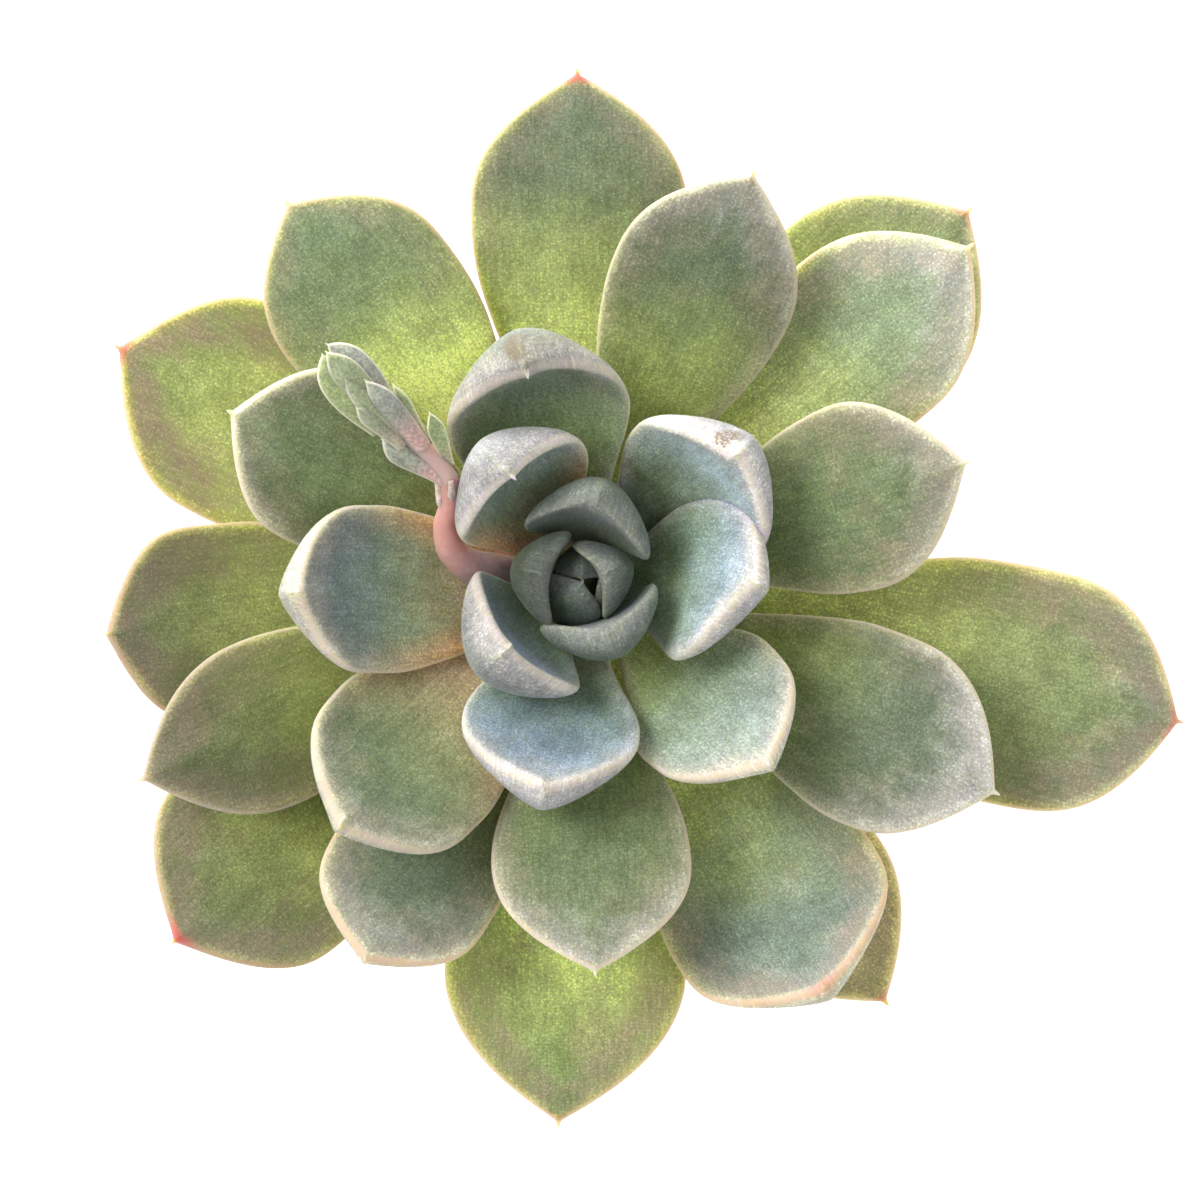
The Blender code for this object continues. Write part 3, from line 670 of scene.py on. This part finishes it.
# How deep light travels in the flesh, in millimetres.
GLOW_DEPTH = {"outer": 3.4, "middle": 2.6, "inner": 1.8, "heart": 1.2}
SCAR_BROWN = (0.20, 0.14, 0.08)
PEBBLES_PER_MM = 2.7
PEBBLE_RELIEF = 0.03 * MM
PATCH_RELIEF = 0.25 * MM


def tier(leaf):
    """The ring of the rosette that the leaf belongs to: outer, middle, inner or heart."""
    return leaf.name.split("_")[0]


def between(a, b, share):
    return tuple(x + (y - x) * share for x, y in zip(a, b))


def scaled(colour, light):
    return tuple(part * light for part in colour)


def leaf_finish(leaf, tone, scar=None):
    """Flesh, painted brighter near the stem as glow on outer leaves and darker as shade on inner ones, then
    the powder on it, then what age and sun do to the skin, with painted glow at some bases and along thin
    edges, and last its rim.
    """
    ring = tier(leaf)
    skin = Finish(
        leaf.name + "_skin", Subsurface_Weight=1.0, Subsurface_Radius=(0.85, 1.0, 0.25),
        Subsurface_Scale=GLOW_DEPTH[ring] * MM, Specular_IOR_Level=0.28, Sheen_Weight=0.10,
        Sheen_Roughness=0.5,
    )
    place = skin.place()
    blade = skin.told("blade", output=1)
    along = skin.told("along")
    margin = skin.told("margin")
    upper = skin.told("upper")
    broad = skin.clouds(place, 110.0, 3.0, 0.55)
    patchy = skin.clouds(place, 320.0, 3.0, 0.6)
    pebbles = skin.cells(blade, PEBBLES_PER_MM, 0.6)
    grain = skin.clouds(place, 3800.0, 1.0, 0.5)

    reach = 0.25 + 0.6 * tone.fresh
    drift = along + 0.30 * (broad - 0.5)
    # Nearest the stem: painted glow on outer and middle leaves and painted shade on inner and heart ones,
    # beige where warm; light scales it, partly as painted light and shade.
    deep = scaled(between(STEM_END_GLOW_AND_SHADE[ring], BEIGE, tone.warm), tone.light)
    flesh = skin.blend(skin.step(drift, reach - 0.35, reach + 0.3), deep, scaled(GREEN, tone.light))
    powder = scaled(between(POWDER_GREEN, POWDER_BLUE, tone.blue), tone.pale)
    settled = skin.step(drift, 0.10 + 0.5 * tone.fresh, 0.85) * 0.95 + 0.3 * (patchy - 0.3)
    dusted = skin.blend(skin.math("MINIMUM", settled * tone.bloom, 1.0), flesh, powder)
    under = skin.blend(0.45 + 0.45 * tone.bloom, flesh, scaled(UNDERSIDE[ring], tone.pale))
    body = skin.blend(skin.step(upper, -0.25, 0.25), under, dusted)
    lit_side = skin.step(upper, -0.1, 0.1)

    stain = skin.clouds(place, 170.0, 3.0, 0.6)
    tanned = skin.step(stain + 0.30 * (along - 0.6) - 0.012 * margin, 0.46, 0.68)
    body = skin.blend(tanned * (0.12 + 0.30 * tone.border) * lit_side, body, scaled(TANNED, tone.pale**0.5))
    # Paler along thin margins, partly the margin's own colour and partly a painted glow of light through the
    # thin edge.
    thin = skin.step(margin + 2.4 * (broad - 0.5), 0.1, 3.5, 1.0, 0.0)
    thin = thin * thin * (0.55 + 0.45 * skin.step(along, 0.3, 0.9))
    edge_tone = between(THIN_EDGE[ring], SUNNED_EDGE, max(0, 1.6 * (tone.border - 0.4)))
    body = skin.blend(thin * 0.56, body, scaled(edge_tone, tone.pale**0.5))
    frosted = skin.step(along + 0.25 * (patchy - 0.5) - 0.02 * margin, 0.62, 0.95)
    body = skin.blend(frosted * tone.frost * 0.85, body, FROST)
    # Painted glow: on warm leaves the base is lit orange, as if light shone through it.
    if tone.warm > 0.5:
        glow_at_base = skin.step(along, 0.72, 0.25) * skin.step(margin, 0.3, 4.5, 1.0, 0.0)
        body = skin.blend(glow_at_base * tone.warm, body, PAINTED_BASE_GLOW)
    band_end = skin.step(margin, 1.6 + 3.0 * tone.border, 5.0 + 3.5 * tone.border, 1.0, 0.0)
    band = skin.step(margin, 0.6, 1.6) * band_end
    old = skin.step(along, 0.35, 0.8) * skin.step(patchy + 0.5 * grain, 0.50, 0.95)
    body = skin.blend(band * old * tone.border * 0.9, body, scaled(BROWNED, tone.light))
    mottle = skin.step(patchy, 0.30, 0.70, 0.84, 1.12) * skin.step(grain, 0.32, 0.68, 0.81, 1.18)
    lengthwise = skin.node("Mapping", None, {"Vector": blade, "Scale": (2.2, 0.25, 1.0)})
    streaks = skin.clouds(lengthwise, 1.0)
    mottle = mottle * skin.step(pebbles, 0.10, 0.50, 1.10, 0.76) * skin.step(streaks, 0.35, 0.65, 0.92, 1.06)
    body = skin.blend(1.0, body, mottle, "MULTIPLY")
    wide_rim = skin.step(margin + 0.5 * (patchy - 0.5), 0.05, 0.55, 1.0, 0.0)
    back_rim = skin.step(margin, 0.0, 0.32, 1.0, 0.0)
    rim = back_rim + (wide_rim - back_rim) * lit_side
    body = skin.blend(rim * RIM_SHARE[ring], body, scaled(MARGIN[ring], min(1.1, tone.pale**0.5)))
    if tone.red > 0:
        heat = skin.step(along + 0.02 * (patchy - 0.5), 0.972, 0.998) * skin.step(margin, 0.5, 2.4, 1.0, 0.0)
        body = skin.blend(heat * tone.red * 0.85, body, POINT_RED)
    if scar is not None:
        across_mm, along_mm, size = scar
        middle = (across_mm, along_mm, 0)
        gone = skin.node("VectorMath", {"operation": "DISTANCE"}, {0: blade, 1: middle}, output=1)
        worn = skin.step(gone + 2.2 * (patchy - 0.5) * size, size * 0.4, size, 1.0, 0.0)
        worn = worn * skin.step(upper, 0.1, -0.1) * skin.step(grain, 0.40, 0.56)
        body = skin.blend(worn * 0.85, body, SCAR_BROWN)
    height = skin.step(pebbles, 0.0, 0.6) * -1.0 + 0.25 * grain
    rough = skin.relief(height, PEBBLE_RELIEF, skin.relief(patchy, PATCH_RELIEF))
    return skin.set(Base_Color=body, Roughness=0.52 + 0.22 * patchy, Normal=rough)


def widest_at(leaf):
    return SPOON_LEAVES.get(leaf.name, WIDEST_AT[tier(leaf)])


def outline_share(s, leaf):
    """Half width of the blade at s, as a share of the widest: s is 0 at the stem and 1 at the point."""
    widest = widest_at(leaf)
    base = BROAD_BASES.get(leaf.name, BROAD_BASES.get(tier(leaf), BASE_SHARE))
    if s < widest:
        return base + (1 - base) * math.sin(math.pi / 2 * s / widest) ** 2
    return max(1 - ((s - widest) / (1 - widest)) ** leaf.fullness, 0)


def thickness_share(s):
    """Thickness of the blade at s, as a share of the thickest."""
    if s < THICKEST_AT:
        return BASE_THICKNESS + (1 - BASE_THICKNESS) * math.sin(math.pi / 2 * s / THICKEST_AT) ** 2
    return 1 - 0.4 * ((s - THICKEST_AT) / (1 - THICKEST_AT)) ** 2.4


def midrib(leaf, start):
    """Frames along the leaf: (point, sideways, upward, forward), evenly spaced from stem to point."""
    frames = []
    point = start.copy()
    step = leaf.length * MM / MIDRIB_STEPS
    for number in range(MIDRIB_STEPS + 1):
        s = number / MIDRIB_STEPS
        slope = math.radians(leaf.rise + (leaf.tip - leaf.rise) * s**leaf.bend)
        heading = math.radians(leaf.turn + leaf.swing * s)
        roll = math.radians(ROLLED_LEAVES.get(leaf.name, 0)) * s
        outward = Vector((math.cos(heading), math.sin(heading), 0))
        level = Vector((-math.sin(heading), math.cos(heading), 0))
        forward = outward * math.cos(slope) + Vector((0, 0, math.sin(slope)))
        sideways = level * math.cos(roll) + forward.cross(level) * math.sin(roll)
        frames.append((point.copy(), sideways, forward.cross(sideways), forward))
        point = point + forward * step
    return frames


def frame_at(frames, s):
    """The midrib's frame at s, between the two nearest ones."""
    place = s * MIDRIB_STEPS
    low = min(int(place), MIDRIB_STEPS - 1)
    return [a.lerp(b, place - low) for a, b in zip(frames[low], frames[low + 1])]


def grow_blade(name, leaf, start, finish, edge, sides, rings, point_length, point_radius, wave):
    """One closed blade: a unit sphere whose rings are drawn out along the midrib."""
    bm = bmesh.new()
    bmesh.ops.create_uvsphere(bm, u_segments=sides, v_segments=rings, radius=1)
    frames = midrib(leaf, start)
    seed = Vector((leaf.turn * 0.37, leaf.length * 0.11, 3.1))
    along_layer = bm.verts.layers.float.new("along")
    margin_layer = bm.verts.layers.float.new("margin")
    upper_layer = bm.verts.layers.float.new("upper")
    blade_layer = bm.verts.layers.float_vector.new("blade")
    sections = []
    for ring in range(rings + 1):
        done = (ring - POINT_RINGS) / (rings - 1 - POINT_RINGS)
        s = 1 - min(max(done, 0), 1) ** RING_CROWDING
        beyond = max(0, 1 - ring / POINT_RINGS)
        flare = point_radius * (1 - beyond**1.5) * math.exp(-(1 - s) * leaf.length * MM / (0.8 * MM))
        wide = leaf.half_width * MM
        width = wide * outline_share(s, leaf)
        ahead = wide * outline_share(min(s + 0.01, 1), leaf)
        behind = wide * outline_share(max(s - 0.01, 0), leaf)
        slant = (ahead - behind) / (leaf.length * MM * (min(s + 0.01, 1) - max(s - 0.01, 0)))
        dome = width if s < widest_at(leaf) else wide
        sections.append((s, beyond, flare, width, slant, dome, frame_at(frames, s)))
    for vert in bm.verts:
        ring = round(math.acos(max(-1, min(1, vert.co.z))) / math.pi * rings)
        on_axis = ring in (0, rings)
        angle = math.atan2(vert.co.y, vert.co.x)
        across = 0 if on_axis else math.cos(angle)
        around = 0 if on_axis else math.sin(angle)
        s, beyond, flare, width, slant, dome, (point, sideways, upward, forward) = sections[ring]
        inside = (1 - abs(across)) * width / math.hypot(1, across * slant)
        round_edge = edge * math.sqrt(max(0, 1 - (1 - min(inside / edge, 1)) ** 2))
        crown = leaf.thickness * MM * thickness_share(s) * (1 - (1 - min(inside / dome, 1)) ** 2)
        depth = round_edge + crown * (UPPER_SHARE if around > 0 else 1 - UPPER_SHARE)
        depth = math.hypot(depth, flare * around)
        ripple = noise.noise(seed + Vector((across * 0.9, s * 3.2, 0))) * wave * min(1, s * 3)
        frill = 1 + FRILL * noise.noise(seed + Vector((5 * (across > 0), s * 7, 9.0))) * min(1, s * 2)
        lift = leaf.cup * width * across**2 + ripple
        side = math.copysign(math.hypot(across * width * frill, flare * across), across)
        height = (depth if around > 0 else -depth) if not on_axis else 0
        vert.co = point + sideways * side + upward * (height + lift) + forward * (beyond * point_length)
        vert[along_layer] = s
        vert[margin_layer] = inside / MM
        vert[upper_layer] = max(-1, min(1, around * 4))
        vert[blade_layer] = (across * width / MM, s * leaf.length, 0)
    return keep(name, bm, finish)


def leaf_start(leaf, order):
    """Where the leaf leaves the stem, just clear of it, as thick as the leaf is there."""
    height = base_height(order)
    blunt_end = leaf.thickness * MM * BASE_THICKNESS * UPPER_SHARE + CAD_EDGE
    radius = stem_radius(height) + LEAF_GAP + blunt_end * math.sin(math.radians(leaf.rise))
    turn = math.radians(leaf.turn)
    return Vector((radius * math.cos(turn), radius * math.sin(turn), height))


# Two leaves have a dry scar on their backs: how far across and along the blade it lies, and its size, in mm.
SCARS = {"inner_leaf_01": (2.2, 25.4, 1.9), "inner_leaf_03": (0.3, 30.8, 1.8)}

for order, leaf in enumerate(LEAVES):
    skin = leaf_finish(leaf, TONES[leaf.name], SCARS.get(leaf.name))
    edge = min(MARGIN_RADIUS[tier(leaf)], THIN_MARGIN * leaf.thickness) * MM
    point_length, point_radius, wave = POINT_LENGTH, POINT_RADIUS, WAVE
    if tier(leaf) == "heart" or leaf.name in BLUNT_LEAVES:
        point_length, point_radius, wave = POINT_LENGTH / 2, POINT_RADIUS * 0.6, WAVE / 3
    grown = grow_blade(
        leaf.name.replace("leaf", "blade"), leaf, leaf_start(leaf, order), skin, edge, LEAF_SIDES, LEAF_RINGS,
        point_length, point_radius, wave,
    )
    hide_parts(leaf.name)
    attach(grown, "root")

# ================================================================ flower stalk
# The soft salmon-pink stalk of the young flower. It comes out beside the heart, lies over a middle leaf,
# bends and turns up between two inner leaves.

STALK_TURN = 169
STALK_LEAF = 24
STALK_ABOVE_LEAF = 0.7 * MM
STALK_CLEARANCE = 1.2 * MM
STALK_HEIGHT = base_height(STALK_LEAF) + STALK_ABOVE_LEAF
STALK_RINGS = 150
STALK_SIDES = 32
# The stalk's middle line from its start, and its radius there: x, y, z and radius in millimetres.
STALK = [
    (0, 0, 0, 1.1), (-2.1, 0.4, 1.6, 1.5), (-4.4, 0.5, 3.7, 1.9), (-6.8, 0.8, 6.0, 1.9),
    (-9.1, 2.6, 8.3, 1.6), (-9.8, 5.1, 10.2, 1.25), (-9.4, 7.2, 11.8, 1.15), (-9.2, 9.0, 13.2, 1.15),
    (-9.5, 10.6, 14.4, 1.1), (-11.3, 12.9, 16.2, 1.0), (-15.3, 16.4, 19.6, 0.75),
]
STALK_MAUVE = (0.36, 0.26, 0.28)
STALK_PINK = (0.68, 0.36, 0.32)
STALK_SHEATH = (0.66, 0.47, 0.43)
STALK_STREAK = (0.78, 0.56, 0.50)


def stalk_point(share):
    """(middle, radius) of the stalk at a share of its length: a smooth curve through its points."""
    place = share * (len(STALK) - 1)
    first = min(int(place), len(STALK) - 2)
    t = place - first
    a, b, c, d = (Vector(STALK[min(max(first + step, 0), len(STALK) - 1)]) for step in (-1, 0, 1, 2))
    x, y, z, radius = (
        2 * b + (c - a) * t + (2 * a - 5 * b + 4 * c - d) * t**2 + (3 * b - a - 3 * c + d) * t**3
    ) * (MM / 2)
    reach = stem_radius(STALK_HEIGHT) + STALK_CLEARANCE
    turn = math.radians(STALK_TURN)
    start = Vector((reach * math.cos(turn), reach * math.sin(turn), STALK_HEIGHT))
    return start + Vector((x, y, z)), radius


def stalk_frame(share):
    middle, radius = stalk_point(share)
    forward = stalk_point(min(share + 0.01, 1))[0] - stalk_point(max(share - 0.01, 0))[0]
    left = Vector((0, 0, 1)).cross(forward).normalized()
    return middle, radius, left, forward.cross(left).normalized()


def stalk_finish():
    skin = Finish(
        "stalk_skin", Subsurface_Weight=1.0, Subsurface_Radius=(1.0, 0.45, 0.30), Subsurface_Scale=1.6 * MM,
        Specular_IOR_Level=0.4,
    )
    place = skin.place()
    share = skin.told("along")
    streaks = skin.clouds(place, 900.0, 3.0, 0.6)
    broad = skin.clouds(place, 260.0, 2.0)
    low = skin.step(share + 0.1 * (broad - 0.5), 0.24, 0.52)
    sheath = skin.step(share + 0.02 * (streaks - 0.5), 0.785, 0.80)
    pink = skin.blend(low, STALK_MAUVE, STALK_PINK)
    pink = skin.blend(sheath, pink, STALK_SHEATH)
    pink = skin.blend(skin.step(streaks, 0.45, 0.75) * 0.30, pink, STALK_STREAK)
    return skin.set(Base_Color=pink, Roughness=0.42 + 0.2 * streaks, Normal=skin.relief(streaks, 0.08 * MM))


def grow_stalk(finish):
    """A straight round bar, cut into short lengths and bent along the stalk's middle line."""
    bm = bmesh.new()
    bmesh.ops.create_cone(bm, cap_ends=True, segments=STALK_SIDES, radius1=1, radius2=1, depth=1)
    sides = [edge for edge in bm.edges if abs(edge.verts[0].co.z - edge.verts[1].co.z) > 0.5]
    bmesh.ops.subdivide_edges(bm, edges=sides, cuts=STALK_RINGS - 1)
    along_layer = bm.verts.layers.float.new("along")
    for vert in bm.verts:
        share = vert.co.z + 0.5
        middle, radius, left, over = stalk_frame(share)
        plump = radius * (1 + 0.07 * noise.noise(Vector((vert.co.x, vert.co.y, share * 9))))
        vert.co = middle + plump * (left * vert.co.x + over * vert.co.y)
        vert[along_layer] = share
    return keep("flower_stem", bm, finish)


stalk = grow_stalk(stalk_finish())
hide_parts("flower_stalk")
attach(stalk, "root")

# ================================================================ stalk leaves and flower bud
# Thin pale scales that clasp the stalk, and the five that close round the unopened flower. They are
# grey-green with papery white edges and a blush where they join the stalk.

# One scale: along is its place as a share of the stalk, side and up how far it starts off the stalk's middle
# in millimetres, blade its shape, green how green it is and blush how pink its base.
Scale = namedtuple("Scale", "along side up blade green blush")
SCALES = [
    Scale(0.79, 0.1, 0.5, Leaf("bract_1", 146, 9.0, 1.6, 0.8, 24, 24, 1.6, 4, -0.45, 2.0), 0.2, 1.0),
    Scale(0.84, -0.9, 0.1, Leaf("bract_2", 108, 7.6, 1.0, 0.6, 40, 42, 1.6, 4, 0.40, 1.8), 0.9, 0.3),
    Scale(0.93, -1.0, 0.2, Leaf("bract_3", 120, 8.0, 0.7, 0.6, 36, 34, 1.6, 2, 0.30, 1.8), 0.9, 0.4),
    Scale(0.955, 1.4, 1.0, Leaf("bract_4", 136, 7.6, 0.95, 0.7, 34, 32, 1.6, 6, -0.50, 2.0), 0.5, 0.3),
    Scale(1.0, -0.5, -0.9, Leaf("bud_leaf_1", 114, 11.6, 1.7, 1.3, 34, 22, 1.6, 36, -0.40, 2.4), 0.1, 0.1),
    Scale(1.0, 1.2, -0.7, Leaf("bud_leaf_2", 146, 11.4, 1.9, 1.3, 34, 22, 1.6, -34, -0.40, 2.4), 1.0, 0.1),
    Scale(1.0, 0.2, 0.1, Leaf("bud_leaf_3", 131, 11.6, 1.7, 1.3, 36, 23, 1.6, 2, -0.40, 2.2), 0.7, 0.1),
    Scale(0.96, 0.8, 0.5, Leaf("bud_leaf_4", 132, 11.0, 1.25, 1.0, 36, 26, 1.6, 0, -0.45, 2.0), 0.6, 0.3),
    Scale(0.925, -0.1, 1.0, Leaf("bud_leaf_5", 128, 11.4, 1.35, 1.0, 38, 28, 1.6, 6, -0.45, 2.0), 0.1, 0.9),
]
SPURS = [
    Scale(0.80, -0.2, 1.15, Leaf("bract_spur_1", 270, 2.9, 0.5, 0.5, -38, -44, 1.6, 0, -0.3, 1.6), 0.0, 0.6),
    Scale(0.82, 1.0, 0.1, Leaf("bract_spur_2", 277, 5.0, 0.5, 0.5, -38, -42, 1.6, 4, -0.3, 1.6), 0.2, 0.6),
]
SCALE_EDGE = 0.16 * MM
SCALE_SIDES = 32
SCALE_RINGS = 44
SCALE_POINT_LENGTH = 0.3 * MM
SCALE_POINT_RADIUS = 0.08 * MM
SCALE_WAVE = 0.12 * MM
SCALE_GREY = (0.40, 0.42, 0.38)
SCALE_GREEN = (0.39, 0.47, 0.23)
SCALE_BLUSH = (0.76, 0.50, 0.46)
SCALE_RIM = (0.82, 0.74, 0.66)
SPUR_PINK = (0.72, 0.57, 0.53)


def scale_finish(scale):
    skin = Finish(
        scale.blade.name + "_skin", Subsurface_Weight=0.8, Subsurface_Radius=(1.0, 1.0, 0.6),
        Subsurface_Scale=0.8 * MM, Specular_IOR_Level=0.35,
    )
    place = skin.place()
    along = skin.told("along")
    margin = skin.told("margin")
    patchy = skin.clouds(place, 700.0, 3.0, 0.6)
    grain = skin.clouds(place, 3000.0, 2.0, 0.6)
    inside = between(SCALE_GREY, SCALE_GREEN, scale.green)
    if scale in SPURS:
        inside = SPUR_PINK
    body = skin.blend(skin.step(patchy, 0.3, 0.7), scaled(inside, 0.85), scaled(inside, 1.15))
    near_base = skin.step(along + 0.2 * (patchy - 0.5), 0.60, 0.15)
    body = skin.blend(near_base * scale.blush, body, SCALE_BLUSH)
    body = skin.blend(1.0, body, skin.step(grain, 0.30, 0.70, 0.72, 1.16), "MULTIPLY")
    body = skin.blend(skin.step(margin, 0.04, 0.30, 1.0, 0.0) * 0.6, body, SCALE_RIM)
    return skin.set(Base_Color=body, Roughness=0.5 + 0.2 * patchy, Normal=skin.relief(grain, 0.04 * MM))


for scale in SCALES + SPURS:
    middle, _, left, over = stalk_frame(scale.along)
    start = middle + (left * scale.side + over * scale.up) * MM
    grown = grow_blade(
        scale.blade.name.replace("_leaf", "_scale").replace("bract", "stalk_scale"), scale.blade, start,
        scale_finish(scale), SCALE_EDGE, SCALE_SIDES, SCALE_RINGS, SCALE_POINT_LENGTH, SCALE_POINT_RADIUS,
        SCALE_WAVE,
    )
    if scale in SCALES:
        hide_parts(scale.blade.name)
    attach(grown, "root")
